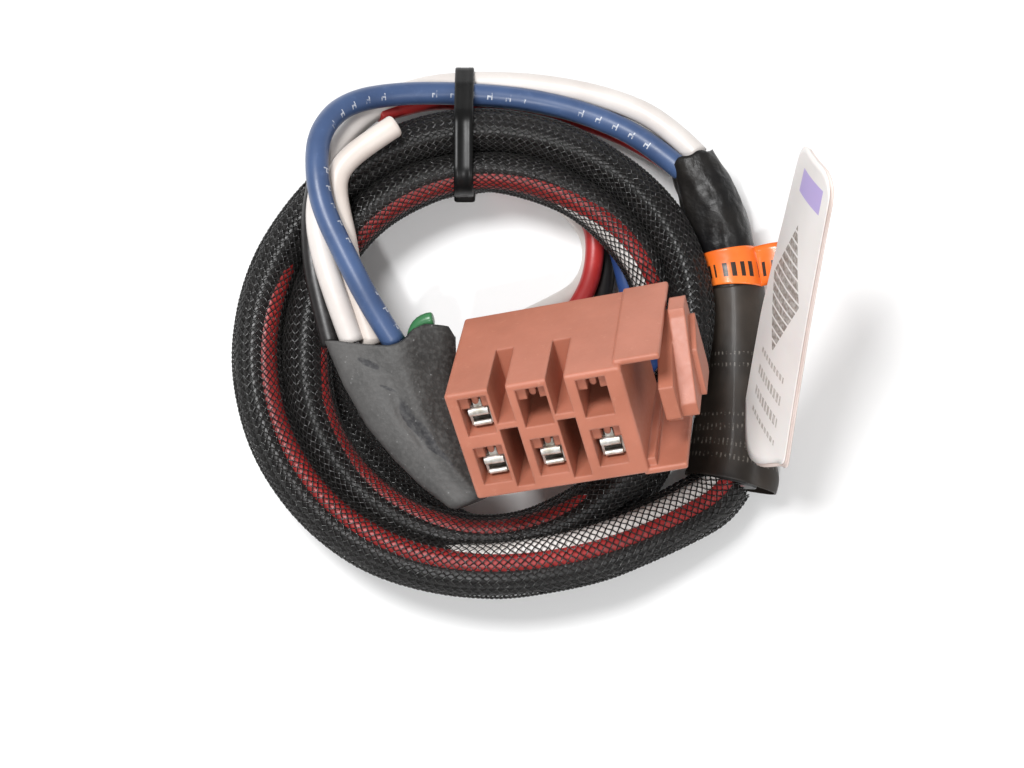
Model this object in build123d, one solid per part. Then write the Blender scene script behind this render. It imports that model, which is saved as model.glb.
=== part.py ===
"""Brake-controller wiring adapter: a coiled braided loom with a six-way connector.

Millimetres, +Z up. The loom lies on the plane Z = 0. Every piece is designed in the coil's
frame (coil centre at X = Y = 0) and exported with the origin at the bottom centre of the
whole object's box.
"""
from build123d import *
import math
import os

# ---- driving dimensions -------------------------------------------------------------------
ORIGIN_X = 5.92            # bottom centre of the whole object's box, in the coil's frame
ORIGIN_Y = 4.52

SLEEVE_R = 3.8             # braided sleeve, outside radius
INNER_TURN_R = 27.4        # centre lines of the three stacked turns
OUTER_TURN_R = 35.0
LOWER_TURN_R = 31.3
UPPER_Z = 10.4
LOWER_Z = SLEEVE_R
MOUTH_ANGLE = 88           # where the lower turn ends in the open mouth of the sleeve
LOWER_END_ANGLE = 330      # where the lower turn climbs to the inner turn
OUTER_START_ANGLE = -2     # where the outer turn crosses in to the inner turn
OUTER_END_ANGLE = 285      # where the outer turn leaves for the shrink tube

HEAVY_WIRE_R = 1.8         # 12 gauge, over its insulation
BLACK_WIRE_R = 1.6
RED_WIRE_R = 1.25
GREEN_WIRE_R = 1.1
PIGTAIL_R = 1.5

TUBE_R = 4.6               # heat-shrink tube, outside and bore
TUBE_BORE_R = 3.95
BUNDLE_R = 3.85
BAND_R = 4.9
WRAP_R = 5.9
BAND_LENGTH = 6.4
WRAP_LENGTH = 13.0

CONN_W = 26.0              # connector: width, height and depth of the six-way block
CONN_H = 18.3
CONN_D = 22.0
CONN_ORIGIN = (-5.2, -11.0, 36.0)          # upper left corner of the mating face
CONN_ACROSS = (0.9578, 0.1164, 0.2629)     # along the width
CONN_OUT = (-0.1197, -0.6699, 0.7327)      # out of the mating face
CAVITY_W = 4.3
CAVITY_H = 6.4
CAVITY_X = (3.9, 12.5, 21.4)
CAVITY_Y = (-4.2, -12.7)
CAVITY_DEPTH = 18.0
EAR_RISE = 0.9             # above this, a cavity is only a shallow recess with a narrow slot
EAR_DEPTH = 1.1
LOCK_SLOT_W = 1.9
LOCK_W = 0.95              # the locking finger that hangs into that slot
LOCK_DROP = 1.5
WIRE_HOLE_R = 1.6
SLOT_X = (7.85, 16.45)
SLOT_W = 2.7
UPPER_SLOT_BOTTOM = -6.0
UPPER_SLOT_DEPTH = 10.8
LOWER_SLOT_TOP = -7.0
LOWER_SLOT_BOTTOM = -17.1
LOWER_SLOT_DEPTH = 16.0
BODY_ROUND = 0.5

WING_W = 5.6               # the plates above and below the latch lever
WING_T = 1.0
WING_PROUD = 0.4           # how far both plates stand proud of the body
WING_FRONT = -1.3
FLOOR_FRONT = -0.2
RIB_W = 1.2                # the strip that stiffens the lower plate
RIB_H = 1.3

LATCH_X = 29.9             # the lever: inner face, and the widths of its bar, web and blade
BAR_W = 2.2
WEB_W = 2.4
BLADE_W = 0.8
LATCH_FOOT = -12.4
BAR_SIDE = [                # (depth, height) outlines of the three layers, front at the right
    (-16.4, -1.3), (-2.8, -6.3), (-2.8, -11.6), (-3.6, LATCH_FOOT), (-5.2, LATCH_FOOT), (-7.4, -9.6),
    (-16.4, -7.6),
]
WEB_SIDE = [
    (-17.0, 0.2), (-13.4, 0.2), (-12.8, -0.9), (-4.2, -10.4), (-4.2, LATCH_FOOT), (-16.2, LATCH_FOOT),
    (-17.0, -11.4),
]
BLADE_SIDE = [(-16.4, -2.6), (-10.6, -5.4), (-9.4, LATCH_FOOT), (-15.6, LATCH_FOOT), (-16.4, -11.6)]

FLAG_LENGTH = 44.5
FLAG_WIDTH = 17.0
FLAG_T = 0.5
FLAG_ROOT = (42.3, -12.6, 12.35)
FLAG_ALONG = (0.131, 0.853, 0.504)
FLAG_ACROSS = (0.148, -0.519, 0.842)
FLAG_STEM = [(-0.5, -0.3), (11.0, -0.3), (4.5, -4.0), (-0.5, -1.2)]   # in the flag's own frame

TIE_X = -2.9
TIE_W = 2.5
TIE_T = 0.8
TIE_HEAD_AT = (26.7, 3.5)  # the head lies against the slope under the inner turn
TIE_HEAD_TURN = -59.4
TIE_HEAD = (3.8, 2.6, 3.6)  # along the strap, thickness, width


# ---- helpers ------------------------------------------------------------------------------
def corner_radii(points):
    """0.45 of the shorter run, divided by the tangent of half the turn, at each corner."""
    found = []
    for before, here, after in zip(points, points[1:], points[2:]):
        run_in = Vector(*here) - Vector(*before)
        run_out = Vector(*after) - Vector(*here)
        half_turn = math.radians(run_in.get_angle(run_out)) / 2
        found.append(0.45 * min(run_in.length, run_out.length) / math.tan(half_turn))
    return found


def route(points):
    return FilletPolyline(*points, radius=corner_radii(points))


def disc_at_start(path, radius, bore=0.0):
    disc = Plane(origin=path @ 0, z_dir=path % 0) * Circle(radius)
    if bore:
        disc -= Plane(origin=path @ 0, z_dir=path % 0) * Circle(bore)
    return disc


def tube(name, points, radius, bore=0.0):
    """A cord's tube along its route; prints its corner radii and checks its volume."""
    path = route(points)
    solid = sweep(disc_at_start(path, radius, bore), path=path)
    expected = math.pi * (radius**2 - bore**2) * path.length
    radii = ", ".join(f"{r:.1f}" for r in corner_radii(points))
    print(f"{name}: length {path.length:.1f}, volume ratio {solid.volume / expected:.4f}, radii {radii}")
    return solid


def torus_turn(turn_radius, height, start, end):
    """Part of one turn of the sleeve, from one angle to another, as a solid of revolution."""
    ring = Plane.XZ * Pos(turn_radius, height) * Circle(SLEEVE_R + 0.05)
    return Rot(0, 0, start) * revolve(ring, Axis.Z, end - start)


def span(points, first, last):
    """The route between two arc lengths, as a wire."""
    path = route(points)
    return path.trim(first / path.length, last / path.length)


def on_connector(shape):
    frame = Plane(origin=CONN_ORIGIN, x_dir=CONN_ACROSS, z_dir=CONN_OUT)
    return frame.location * shape


def block(x0, x1, y0, y1, z0, z1):
    """A box given by its limits on each axis."""
    return Pos((x0 + x1) / 2, (y0 + y1) / 2, (z0 + z1) / 2) * Box(x1 - x0, y1 - y0, z1 - z0)


# ---- routes of the cords, chosen by hand --------------------------------------------------
TAIL = [
    (37.9, -19.0, 6.1), (35.9, -22.8, 6.1), (31.8, -26.0, 7.4), (26.4, -28.4, 9.0),
    (20.8, -30.5, 10.1), (15.2, -32.1, 10.45), (9.06, -33.81, 10.45),
]
SHRINK = [
    (33.1, 30.9, 8.5), (36.4, 26.9, 8.0), (38.9, 22.0, 7.3), (40.7, 16.2, 6.6),
    (41.8, 9.3, 6.2), (42.1, 1.6, 6.1), (41.8, -6.4, 6.1), (40.6, -13.6, 6.1), (37.9, -19.0, 6.1),
]
BLUE = [
    (31.9, 29.2, 9.6), (26.4, 33.6, 8.7), (18.7, 37.9, 8.0), (7.5, 41.2, 8.0), (-2.9, 42.5, 8.4),
    (-12.5, 42.0, 9.8), (-20.8, 40.0, 13.2), (-25.4, 34.8, 17.2), (-26.0, 28.4, 20.0),
    (-23.4, 21.6, 20.6), (-19.2, 14.6, 20.3), (-14.9, 7.4, 19.4), (-11.9, 1.0, 18.2),
]
WHITE_OUTER = [
    (34.3, 32.2, 9.3), (28.8, 37.2, 8.4), (20.4, 41.8, 7.2), (8.6, 45.4, 6.6), (-2.9, 46.4, 6.6),
    (-15.6, 44.2, 7.2), (-22.6, 39.4, 9.4), (-26.3, 33.4, 12.9), (-26.6, 27.2, 16.2),
    (-25.3, 21.0, 16.7), (-23.4, 14.4, 16.5), (-20.6, 7.4, 16.2), (-17.7, 1.0, 16.0),
]
BLACK = [
    (34.2, 32.0, 5.7), (28.9, 36.6, 4.2), (20.0, 41.2, 2.8), (8.5, 44.2, 2.4), (-3.0, 45.0, 2.9),
    (-13.0, 44.0, 3.2), (-21.6, 40.2, 5.2), (-27.6, 34.6, 9.0), (-30.2, 27.8, 14.0),
    (-29.0, 20.8, 16.6), (-27.1, 14.2, 16.5), (-24.3, 7.4, 16.1), (-21.5, 1.0, 15.8),
]
WHITE_INNER = [
    (-14.0, 1.0, 15.2), (-16.7, 7.4, 15.9), (-19.6, 14.4, 16.5), (-21.3, 20.4, 16.7),
    (-21.7, 25.4, 16.8), (-20.2, 29.6, 17.0), (-17.2, 32.8, 17.0), (-13.2, 35.0, 16.8),
]
RED = [
    (32.4, 29.8, 6.0), (27.0, 34.2, 4.8), (18.5, 37.9, 4.2), (7.5, 40.9, 4.4), (-2.9, 41.4, 4.8),
    (-10.4, 40.4, 5.4), (-17.0, 37.9, 6.0),
]
GREEN = [(-8.6, 0.4, 16.8), (-9.6, 3.8, 17.8), (-6.2, 5.2, 18.6)]

PIGTAILS = {
    "pigtail_white": [
        (1.05, 29.75, 5.35), (7.2, 29.1, 5.2), (12.8, 26.3, 4.9), (16.9, 21.9, 4.8),
        (17.4, 16.2, 6.0), (15.2, 10.6, 8.6), (10.2, 6.8, 11.2), (5.2, 4.6, 14.0),
        (3.55, 0.85, 17.5),
    ],
    "pigtail_red": [
        (1.05, 29.75, 2.25), (7.2, 29.1, 2.1), (12.8, 26.3, 1.75), (16.9, 21.9, 1.65),
        (18.3, 16.2, 2.6), (16.0, 10.2, 4.2), (11.4, 4.4, 5.8), (6.8, -1.4, 8.6),
        (5.3, -5.4, 12.8),
    ],
    "pigtail_black": [
        (1.15, 32.85, 2.25), (7.8, 32.1, 2.1), (14.4, 28.9, 1.75), (19.6, 23.7, 1.65),
        (21.6, 16.8, 1.9), (20.0, 9.4, 4.2), (17.2, 3.0, 7.8), (14.4, -1.0, 11.4),
        (13.4, -4.4, 15.0),
    ],
    "pigtail_blue": [
        (1.15, 32.85, 5.35), (7.8, 32.1, 5.2), (14.4, 28.9, 4.9), (19.6, 23.7, 4.8),
        (20.6, 16.4, 4.9), (18.9, 10.2, 7.4), (20.4, 4.4, 10.6), (21.9, -0.2, 13.8),
        (21.4, -3.45, 17.2),
    ],
}
# column, row of the cavity that each pigtail's terminal sits in
TERMINAL_PLACES = {"terminal_1": (0, 0), "terminal_2": (0, 1), "terminal_3": (1, 1), "terminal_4": (2, 1)}
PIGTAIL_PLACES = {
    "pigtail_white": (0, 0), "pigtail_red": (0, 1), "pigtail_black": (1, 1), "pigtail_blue": (2, 1),
}


# ---- the loom -----------------------------------------------------------------------------
def sleeve_coil():
    """The coiled stretch of braided sleeve: two turns on top of a partial lower turn."""
    inner = torus_turn(INNER_TURN_R, UPPER_Z, 0, 360)
    outer = torus_turn(OUTER_TURN_R, UPPER_Z, OUTER_START_ANGLE, OUTER_END_ANGLE)
    lower = torus_turn(LOWER_TURN_R, LOWER_Z, MOUTH_ANGLE, LOWER_END_ANGLE)
    gusset = Plane.XZ * Polyline(
        (INNER_TURN_R, UPPER_Z), (OUTER_TURN_R, UPPER_Z), (LOWER_TURN_R, LOWER_Z), close=True
    )
    fill = Rot(0, 0, MOUTH_ANGLE) * revolve(
        make_face(gusset.edges()), Axis.Z, OUTER_END_ANGLE - MOUTH_ANGLE
    )
    return Pos(0, 0, 0.05) * (inner + outer + lower + fill)


def boot():
    """The soft flattened boot over the joined wire ends, wide at its mouth."""
    mouth = Plane(origin=(-13.6, 0.9, 16.6), x_dir=(1, 0.03, 0), z_dir=(0.03, -1, 0))
    middle = Plane(origin=(-10.0, -11.5, 16.8), x_dir=(0.94, 0.3, 0), z_dir=(0.3, -0.94, 0.0))
    tip = Plane(origin=(-2.6, -23.0, 17.2), x_dir=(0.94, 0.34, 0), z_dir=(0.34, -0.94, 0.0))
    sections = Sketch()
    sections += mouth * RectangleRounded(19.4, 8.8, 3.6)
    sections += middle * RectangleRounded(13.6, 7.2, 3.2)
    sections += tip * RectangleRounded(8.2, 5.2, 2.3)
    return loft(sections)


def shrink_ring(radius, bore, first, last):
    """A short tube round the shrink tube, between two distances from its mouth."""
    path = span(SHRINK, first, last)
    return sweep(disc_at_start(path, radius, bore), path=path)


def wrap_label(path_length):
    """The clear overlaminate wound round the tube's end, with the stem that carries the flag."""
    ring = shrink_ring(WRAP_R, TUBE_R, path_length - WRAP_LENGTH, path_length - 0.4)
    stem = Polyline(*FLAG_STEM, close=True)
    fin = extrude(make_face(stem.edges()), FLAG_T / 2, both=True)
    return ring + flag_frame().location * fin


def flag_frame():
    """X along the flag's root edge, Y across the flag, Z out of its face."""
    face = Vector(*FLAG_ALONG).cross(Vector(*FLAG_ACROSS))
    return Plane(origin=FLAG_ROOT, x_dir=FLAG_ALONG, z_dir=face)


def flag_label():
    """The printed two-ply flag, a stiff sheet standing off the wrap."""
    frame = flag_frame()
    sheet = RectangleRounded(FLAG_LENGTH, FLAG_WIDTH, 2.6)
    return frame.location * Pos(FLAG_LENGTH / 2, FLAG_WIDTH / 2, 0) * extrude(sheet, FLAG_T / 2, both=True)


def cable_tie():
    """The tie's strap round both turns and the loose wires, pulled tight, and its head."""
    held = [
        (INNER_TURN_R, UPPER_Z, SLEEVE_R - 1.2), (OUTER_TURN_R, UPPER_Z, SLEEVE_R - 0.4),
        (LOWER_TURN_R, LOWER_Z, SLEEVE_R - 1.2), (44.9, 6.6, HEAVY_WIRE_R), (44.2, 2.9, BLACK_WIRE_R),
    ]
    circles = [Pos(y, z) * Circle(r) for y, z, r in held]
    grown = [Pos(y, z) * Circle(r + TIE_T) for y, z, r in held]
    inside = make_hull(Sketch(children=circles).edges())
    outside = make_hull(Sketch(children=grown).edges())
    plane = Plane(origin=(TIE_X, 0, 0), x_dir=(0, 1, 0), z_dir=(1, 0, 0))
    strap = extrude(plane * (outside - inside), TIE_W / 2, both=True)
    along, thick, wide = TIE_HEAD
    block_face = Pos(*TIE_HEAD_AT) * Rot(0, 0, TIE_HEAD_TURN) * RectangleRounded(along, thick, 0.5)
    return strap + extrude(plane * (block_face - inside), wide / 2, both=True)


# ---- the connector ------------------------------------------------------------------------
def cavity(x, y):
    """What is cut for one terminal: wide below, a shallow recess and a slot with a finger above."""
    half_w = CAVITY_W / 2
    top = y + CAVITY_H / 2
    shelf = y + EAR_RISE
    hollow = block(x - half_w, x + half_w, y - CAVITY_H / 2, shelf, -CAVITY_DEPTH, 1)
    hollow += block(x - half_w, x + half_w, shelf - 0.1, top, -EAR_DEPTH, 1)
    hollow += block(x - LOCK_SLOT_W / 2, x + LOCK_SLOT_W / 2, shelf - 0.1, top, -CAVITY_DEPTH, 1)
    hollow += Pos(x, y, -CONN_D / 2 - 5) * Cylinder(WIRE_HOLE_R, CONN_D)
    finger = block(x - LOCK_W / 2, x + LOCK_W / 2, top - LOCK_DROP, top + 0.2, -9.0, -1.5)
    finger += Pos(x, top - LOCK_DROP, -5.25) * Cylinder(LOCK_W / 2, 7.5)
    return hollow - finger


def connector_housing():
    """Six cavities in two rows, slots between the columns, and plates above and below the latch."""
    body = block(0, CONN_W, -CONN_H, 0, -CONN_D, 0)
    body = fillet(body.edges(), BODY_ROUND)
    for x in SLOT_X:
        body -= block(x - SLOT_W / 2, x + SLOT_W / 2, UPPER_SLOT_BOTTOM, 1, -UPPER_SLOT_DEPTH, 1)
        body -= block(
            x - SLOT_W / 2, x + SLOT_W / 2, LOWER_SLOT_BOTTOM, LOWER_SLOT_TOP, -LOWER_SLOT_DEPTH, 1
        )
    for x in CAVITY_X:
        for y in CAVITY_Y:
            body -= cavity(x, y)
    right = CONN_W + WING_W
    roof = block(CONN_W - 1.2, right, WING_PROUD - WING_T, WING_PROUD, -CONN_D, WING_FRONT)
    roof = fillet(roof.edges(), 0.35)
    base = -CONN_H - WING_PROUD
    floor = fillet(block(CONN_W - 0.8, right, base, base + WING_T, -CONN_D, FLOOR_FRONT).edges(), 0.35)
    rib_top = base + WING_T + RIB_H
    rib = block(CONN_W - 0.4, CONN_W + RIB_W, base + 0.5, rib_top, 0.4 - CONN_D, FLOOR_FRONT - 0.8)
    return body + roof + floor + rib


def layer(outline, x0, x1):
    """A plate of the latch lever between two distances from the connector's left side."""
    side = make_face(Polyline(*outline, close=True).edges())
    plane = Plane(origin=(x0, 0, 0), x_dir=(0, 0, 1), z_dir=(-1, 0, 0))
    return extrude(plane * side, x0 - x1)


def latch_arm():
    """The lock lever beside the housing: a bent bar, the web outside it and a short blade."""
    web_x = LATCH_X + BAR_W
    blade_x = web_x + WEB_W
    arm = layer(BAR_SIDE, LATCH_X, web_x)
    arm += layer(WEB_SIDE, web_x, blade_x)
    return arm + layer(BLADE_SIDE, blade_x, blade_x + BLADE_W)


def terminal(column, row):
    """A female terminal: open box, rolled lips at its front, neck under the lock, crimp barrel."""
    x = CAVITY_X[column]
    y = CAVITY_Y[row]
    body = block(x - 1.7, x + 1.7, y - 2.7, y + 0.6, -14.0, -2.3)
    body -= block(x - 1.35, x + 1.35, y - 2.35, y + 0.2, -12.0, 0)
    curl = Pos(x, y - 0.15, -1.9) * Rot(0, 90, 0) * Cylinder(0.72, 2.9)
    lip = Pos(x, y - 2.35, -2.1) * Rot(0, 90, 0) * Cylinder(0.4, 2.6)
    neck = block(x - 0.6, x + 0.6, y + 0.3, y + 1.7, -2.5, -2.0)
    barrel = Pos(x, y, -15.6) * Cylinder(1.5, 3.8)
    return body + curl + lip + neck + barrel


# ---- making the parts ---------------------------------------------------------------------
def save(name, shape):
    moved = Pos(-ORIGIN_X, -ORIGIN_Y, 0) * shape
    solids = moved.solids()
    whole = solids[0] if len(solids) == 1 else Compound(children=solids)
    export_step(whole, f"parts/{name}.step")
    return whole


def main():
    os.makedirs("parts", exist_ok=True)
    tube_length = route(SHRINK).length
    made = {}
    made["sleeve_coil"] = sleeve_coil()
    made["sleeve_tail"] = tube("sleeve_tail", TAIL, SLEEVE_R)
    made["shrink_tube"] = tube("shrink_tube", SHRINK, TUBE_R, TUBE_BORE_R)
    made["splice_bundle"] = tube("splice_bundle", SHRINK, BUNDLE_R)
    made["orange_band"] = shrink_ring(BAND_R, TUBE_R, 15.5, 15.5 + BAND_LENGTH)
    made["wrap_label"] = wrap_label(tube_length)
    made["flag_label"] = flag_label()
    made["blue_wire"] = tube("blue_wire", BLUE, HEAVY_WIRE_R)
    made["white_wire_outer"] = tube("white_wire_outer", WHITE_OUTER, HEAVY_WIRE_R)
    made["white_wire_inner"] = tube("white_wire_inner", WHITE_INNER, HEAVY_WIRE_R)
    made["black_wire"] = tube("black_wire", BLACK, BLACK_WIRE_R)
    made["red_wire"] = tube("red_wire", RED, RED_WIRE_R)
    made["green_wire"] = tube("green_wire", GREEN, GREEN_WIRE_R)
    made["boot"] = boot()
    made["cable_tie"] = cable_tie()
    made["connector_housing"] = on_connector(connector_housing())
    made["latch_arm"] = on_connector(latch_arm())
    for name, place in TERMINAL_PLACES.items():
        made[name] = on_connector(terminal(*place))
    for name, points in PIGTAILS.items():
        made[name] = tube(name, points, PIGTAIL_R)
    boxes = [save(name, shape).bounding_box() for name, shape in made.items()]
    low = [min(getattr(b.min, a) for b in boxes) for a in "XYZ"]
    high = [max(getattr(b.max, a) for b in boxes) for a in "XYZ"]
    print("box low", [round(v, 3) for v in low], "high", [round(v, 3) for v in high])
    print("size", [round(h - l, 2) for l, h in zip(low, high)])


main()
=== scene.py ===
"""Brake-controller wiring adapter: the looks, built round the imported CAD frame."""
import math
import bpy
import numpy as np
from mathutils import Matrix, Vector, noise
from mathutils.geometry import convex_hull_2d


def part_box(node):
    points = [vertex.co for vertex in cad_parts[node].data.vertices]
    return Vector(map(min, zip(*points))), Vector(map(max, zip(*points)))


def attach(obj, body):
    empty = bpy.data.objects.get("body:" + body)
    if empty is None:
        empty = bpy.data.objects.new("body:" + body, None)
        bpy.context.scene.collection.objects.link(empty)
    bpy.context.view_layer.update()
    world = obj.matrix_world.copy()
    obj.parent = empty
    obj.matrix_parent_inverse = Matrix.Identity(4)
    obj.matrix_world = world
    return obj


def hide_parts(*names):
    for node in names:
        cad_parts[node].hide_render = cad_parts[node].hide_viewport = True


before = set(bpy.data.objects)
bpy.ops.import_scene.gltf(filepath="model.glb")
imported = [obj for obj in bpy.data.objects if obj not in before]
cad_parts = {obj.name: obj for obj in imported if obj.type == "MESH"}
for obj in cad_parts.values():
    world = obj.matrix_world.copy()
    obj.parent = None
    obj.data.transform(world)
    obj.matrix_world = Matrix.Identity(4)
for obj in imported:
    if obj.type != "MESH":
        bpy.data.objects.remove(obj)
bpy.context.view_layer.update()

MM = 0.001

# ---- the coil's frame
coil_low, coil_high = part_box("sleeve_coil")
CENTRE = np.array([(coil_low[0] + coil_high[0]) / 2, (coil_low[1] + coil_high[1]) / 2, 0.0])


def place(points):
    """Points in millimetres from the coil's centre, as metres in the row frame."""
    return np.asarray(points, float) * MM + CENTRE


# ---- camera, floor and light
ELEVATION = math.radians(80.0)
CAMERA_DISTANCE = 0.350
FOCAL_MM = 79.4
SENSOR_MM = 36.0
FLOOR_HALF = 1.5
FLOOR_GAP = 0.0003       # the floor lies this far under the lowest part
AIM = place((4.65, -4.43, 9.2))


def add_object(name, data):
    obj = bpy.data.objects.new(name, data)
    bpy.context.collection.objects.link(obj)
    return obj


def make_camera():
    data = bpy.data.cameras.new("camera")
    data.sensor_width = SENSOR_MM
    data.lens = FOCAL_MM
    data.clip_start = 0.01
    camera = add_object("camera", data)
    back = np.array([0.0, -math.cos(ELEVATION), math.sin(ELEVATION)])
    camera.location = AIM + CAMERA_DISTANCE * back
    camera.rotation_euler = (math.pi / 2 - ELEVATION, 0.0, 0.0)
    bpy.context.scene.camera = camera


def area_light(name, where, size, power, gloss=1.0):
    data = bpy.data.lights.new(name, "AREA")
    data.shape = "DISK"
    data.size = size
    data.energy = power
    data.specular_factor = gloss
    light = add_object(name, data)
    light.location = AIM + np.asarray(where)
    light.rotation_euler = Vector(-np.asarray(where)).to_track_quat("-Z", "Y").to_euler()


def make_stage():
    mesh = bpy.data.meshes.new("floor")
    corners = [(x * FLOOR_HALF, y * FLOOR_HALF, 0) for x, y in ((-1, -1), (1, -1), (1, 1), (-1, 1))]
    mesh.from_pydata(corners, [], [(0, 1, 2, 3)])
    floor = add_object("floor", mesh)
    floor.location = (0, 0, -FLOOR_GAP)
    material = bpy.data.materials.new("floor_white")
    material.use_nodes = True
    shader = material.node_tree.nodes["Principled BSDF"].inputs
    shader["Base Color"].default_value = (0.92, 0.92, 0.92, 1)
    shader["Roughness"].default_value = 0.7
    shader["Specular IOR Level"].default_value = 0.2
    mesh.materials.append(material)
    world = bpy.data.worlds.new("studio")
    world.use_nodes = True
    background = world.node_tree.nodes["Background"].inputs
    background["Color"].default_value = (1, 1, 1, 1)
    background["Strength"].default_value = 0.36
    bpy.context.scene.world = world
    bpy.context.scene.view_settings.view_transform = "Standard"
    area_light("key", (-0.16, 0.14, 0.48), 0.20, 2.6, gloss=0.45)
    area_light("fill", (0.30, -0.25, 0.42), 0.30, 0.65, gloss=0.35)
    area_light("front", (-0.03, -0.22, 0.50), 0.035, 0.9)


make_camera()
make_stage()


# ---- geometry helpers
def spline_line(points_mm, name):
    """The smooth line of a NURBS spline with these control points, in metres, at even steps."""
    curve = bpy.data.curves.new(name, "CURVE")
    curve.dimensions = "3D"
    curve.resolution_u = 24
    spline = curve.splines.new("NURBS")
    control = place(points_mm)
    spline.points.add(len(control) - 1)
    for point, where in zip(spline.points, control):
        point.co = (*where, 1.0)
    spline.order_u = 3
    spline.use_endpoint_u = True
    carrier = bpy.data.objects.new(name, curve)
    mesh = bpy.data.meshes.new_from_object(carrier)
    line = np.array([v.co[:] for v in mesh.vertices])
    bpy.data.objects.remove(carrier)
    bpy.data.curves.remove(curve)
    bpy.data.meshes.remove(mesh)
    return line


def distances(line):
    """How far along the line each of its points is."""
    return np.concatenate([[0], np.cumsum(np.linalg.norm(np.diff(line, axis=0), axis=1))])


def even_steps(line, step):
    """The line with its points an even step apart, and how far along it each of them is."""
    along = distances(line)
    count = max(int(round(along[-1] / step)), 4)
    wanted = np.linspace(0, along[-1], count + 1)
    return np.stack([np.interp(wanted, along, line[:, k]) for k in range(3)], 1), wanted


def at_keys(where, table, column):
    """A column of a table at some place, by straight lines between the table's rows."""
    keys = np.array(table, float)
    return np.interp(where, keys[:, 0], keys[:, column])


def unit(v):
    return v / np.linalg.norm(v, axis=-1, keepdims=True)


def carried_frames(line):
    """Tangent, side and up at each point, with the least twist along the line."""
    tangent = unit(np.gradient(line, axis=0))
    up = np.empty_like(tangent)
    up[0] = unit(np.array([0.0, 0.0, 1.0]) - tangent[0] * tangent[0][2])
    for i in range(1, len(line)):
        carried = up[i - 1] - tangent[i] * (up[i - 1] @ tangent[i])
        up[i] = unit(carried)
    return tangent, np.cross(up, tangent), up


def level_frames(line):
    """Tangent, outward side and up at each point, with up as near to +Z as it can be."""
    tangent = unit(np.gradient(line, axis=0))
    z = np.array([0.0, 0.0, 1.0])
    up = unit(z - tangent * (tangent @ z)[:, None])
    return tangent, np.cross(up, tangent), up


def tube_angles(count):
    return np.linspace(0, 2 * np.pi, count, endpoint=False)


def ring_grid(line, frames, radius, angles, shift=None, height=None):
    """Rings round a line, of these radii (row by column), moved along it by shift.

    A height gives the rings another size upwards than sideways.
    """
    tangent, side, up = frames
    height = radius if height is None else height
    rows = (
        line[:, None, :]
        + side[:, None, :] * (radius * np.cos(angles))[:, :, None]
        + up[:, None, :] * (height * np.sin(angles))[:, :, None]
    )
    if shift is not None:
        rows = rows + tangent[:, None, :] * shift[:, :, None]
    return rows


def noise_grid(along, angles, rate, around, seed):
    """Smooth noise that closes on itself round a tube."""
    return np.array([
        [noise.noise(Vector((a * rate + seed, math.cos(t) * around, math.sin(t) * around))) for t in angles]
        for a in along
    ])


def tube_rows(line, radius, sides, lump=0.0, seed=0.0):
    """Rings round a line, with slow lumps, and the matching (millimetres, turn) pairs."""
    along = distances(line)
    angles = tube_angles(sides)
    radius = np.broadcast_to(radius, (len(line),))[:, None]
    if lump:
        radius = radius * (1.0 + lump * noise_grid(along, angles, 160, 0.8, seed))
    rows = ring_grid(line, carried_frames(line), radius, angles)
    return rows, turn_pairs(along, angles)


def turn_pairs(along, angles, start=0.0):
    """Texture pairs for rings: millimetres from the start, and share of a turn."""
    return np.stack(np.broadcast_arrays(along[:, None] / MM - start / MM, angles / (2 * np.pi)), -1)


def blunt_end(line, radius, rounding):
    """The line and its radii, with extra points that round its far end off."""
    turns = np.pi / 2 - np.linspace(0, np.pi / 2, 6)[-2::-1]
    cap = line[-1] + unit(line[-1] - line[-2]) * (rounding * np.sin(turns + 1e-3))[:, None]
    sizes = radius - rounding + rounding * np.cos(turns)
    return np.vstack([line, cap]), np.concatenate([np.full(len(line), radius), sizes])


def ring_quads(count, around):
    """The quads that join each ring to the next."""
    i = np.arange(count - 1)[:, None] * around
    j = np.arange(around)[None, :]
    k = (j + 1) % around
    return np.stack([i + j, i + k, i + around + k, i + around + j], -1).reshape(-1, 4)


def end_caps(count, around):
    last = (count - 1) * around
    return [list(range(around))[::-1], list(range(last, last + around))]


def finish_mesh(name, verts, faces, materials):
    """A smooth object of these points and faces; the materials are named as in MATERIAL."""
    mesh = bpy.data.meshes.new(name)
    mesh.from_pydata(verts.tolist(), [], faces)
    for material in materials:
        mesh.materials.append(MATERIAL[material])
    mesh.polygons.foreach_set("use_smooth", [True] * len(mesh.polygons))
    return add_object(name, mesh), mesh


def grid_object(name, rows, material, caps=True, uv=None, slab=False):
    """A mesh from rows of points, each row one ring; uv is a row-by-column array of pairs.

    A slab's rings run out along its face and back behind it, so its ends close in strips.
    """
    count, around, _ = rows.shape
    faces = ring_quads(count, around).tolist()
    seam = 4 * len(faces)
    if slab:
        last = (count - 1) * around
        for n in range(around // 2 - 1):
            strip = [n, n + 1, around - 2 - n, around - 1 - n]
            faces.append(strip[::-1])
            faces.append([last + k for k in strip])
    elif caps:
        faces += end_caps(count, around)
    obj, mesh = finish_mesh(name, rows.reshape(-1, 3), faces, [material])
    if uv is not None:
        layer = mesh.uv_layers.new(name="along")
        corners = np.zeros(len(mesh.loops), int)
        mesh.loops.foreach_get("vertex_index", corners)
        values = uv.reshape(-1, 2)[corners]
        turn = values[:seam].reshape(-1, 4, 2)[:, :, 1]
        wraps = turn.max(1) - turn.min(1) > 0.5
        turn[wraps[:, None] & (turn < 0.5)] += 1.0
        layer.data.foreach_set("uv", values.ravel())
    mesh.update()
    return obj


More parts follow.
